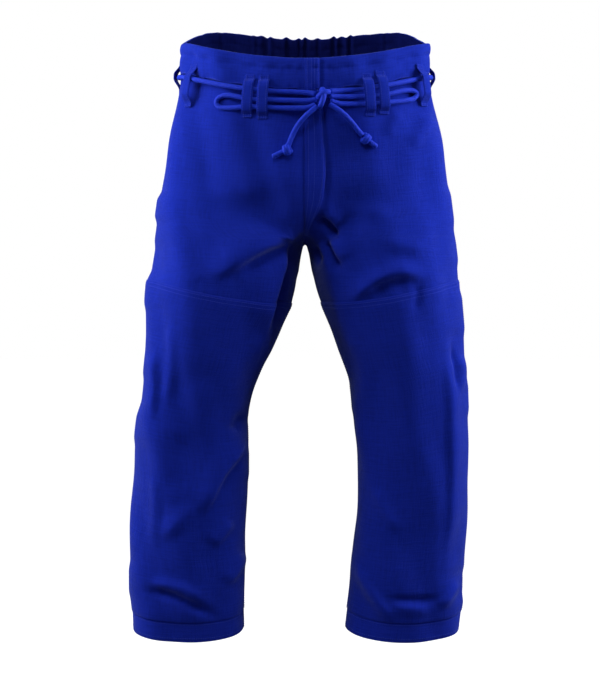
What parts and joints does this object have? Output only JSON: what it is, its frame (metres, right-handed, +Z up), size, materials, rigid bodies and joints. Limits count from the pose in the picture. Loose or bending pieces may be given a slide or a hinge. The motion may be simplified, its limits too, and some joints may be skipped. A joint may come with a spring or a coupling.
{
  "type": "martial arts trousers",
  "caption": "Cloth trousers of a martial arts uniform, with knee patches, a gathered waistband, belt loops and a rope drawstring tied in a bow",
  "frame": {"origin": "centre of the waist opening, level with the top edge of the back waistband", "axes": "+Z up, the wearer faces -Y, so +X is the wearer's left"},
  "size_m": [0.541, 0.2641, 0.98],
  "materials": {
    "body_cloth": "blue woven cotton, matt",
    "patch_cloth": "blue woven cotton of the knee patches, matt",
    "trim_cloth": "blue twill tape, edge stitched",
    "rope": "bright blue woven rope",
    "elastic": "ribbed white elastic"
  },
  "bodies": {
    "hips": {"waistband_front_right": "body_cloth", "waistband_front_left": "body_cloth", "waistband_back": "body_cloth", "back_elastic": "elastic", "hip_front_right": "body_cloth", "hip_front_left": "body_cloth", "hip_back_right": "body_cloth", "hip_back_left": "body_cloth", "groin_front_right": "body_cloth", "groin_front_left": "body_cloth", "seat_back_right": "body_cloth", "seat_back_left": "body_cloth", "crotch_gusset": "body_cloth", "fly_placket": "body_cloth", "belt_loop_front_right_inner": "trim_cloth", "belt_loop_front_right_outer": "trim_cloth", "belt_loop_front_left_inner": "trim_cloth", "belt_loop_front_left_outer": "trim_cloth", "belt_loop_side_right": "trim_cloth", "belt_loop_side_left": "trim_cloth", "belt_loop_hip_right": "trim_cloth", "belt_loop_hip_left": "trim_cloth", "belt_loop_back_right": "trim_cloth", "belt_loop_back_left": "trim_cloth", "drawstring_waist_run": "rope", "drawstring_bow_knot": "rope", "drawstring_bow_right": "rope", "drawstring_bow_left": "rope", "drawstring_tail_right": "rope", "drawstring_tail_left": "rope", "tail_knot_right": "rope", "tail_knot_left": "rope"},
    "thigh_right": {"thigh_front_right": "body_cloth", "thigh_back_right": "body_cloth", "knee_patch_upper_right": "patch_cloth", "knee_front_right": "body_cloth", "knee_back_right": "body_cloth", "knee_patch_bend_right": "patch_cloth"},
    "shin_right": {"shin_front_right": "body_cloth", "shin_back_right": "body_cloth", "knee_patch_lower_right": "patch_cloth", "hem_right": "body_cloth"},
    "thigh_left": {"thigh_front_left": "body_cloth", "thigh_back_left": "body_cloth", "knee_patch_upper_left": "patch_cloth", "knee_front_left": "body_cloth", "knee_back_left": "body_cloth", "knee_patch_bend_left": "patch_cloth"},
    "shin_left": {"shin_front_left": "body_cloth", "shin_back_left": "body_cloth", "knee_patch_lower_left": "patch_cloth", "hem_left": "body_cloth"}
  },
  "joints": [
    {"name": "hip_right", "type": "hinge", "parent": "hips", "child": "thigh_right", "pos_m": [-0.13, 0, -0.275], "axis": [-1, 0, 0], "range_deg": [-15, 60], "deforming": ["groin_front_right", "seat_back_right", "crotch_gusset"]},
    {"name": "knee_right", "type": "hinge", "parent": "thigh_right", "child": "shin_right", "pos_m": [-0.168, 0.003, -0.58], "axis": [1, 0, 0], "range_deg": [0, 80], "deforming": ["knee_front_right", "knee_back_right", "knee_patch_bend_right"]},
    {"name": "hip_left", "type": "hinge", "parent": "hips", "child": "thigh_left", "pos_m": [0.13, 0, -0.275], "axis": [-1, 0, 0], "range_deg": [-15, 60], "deforming": ["groin_front_left", "seat_back_left", "crotch_gusset"]},
    {"name": "knee_left", "type": "hinge", "parent": "thigh_left", "child": "shin_left", "pos_m": [0.168, 0.003, -0.58], "axis": [1, 0, 0], "range_deg": [0, 80], "deforming": ["knee_front_left", "knee_back_left", "knee_patch_bend_left"]}
  ]
}
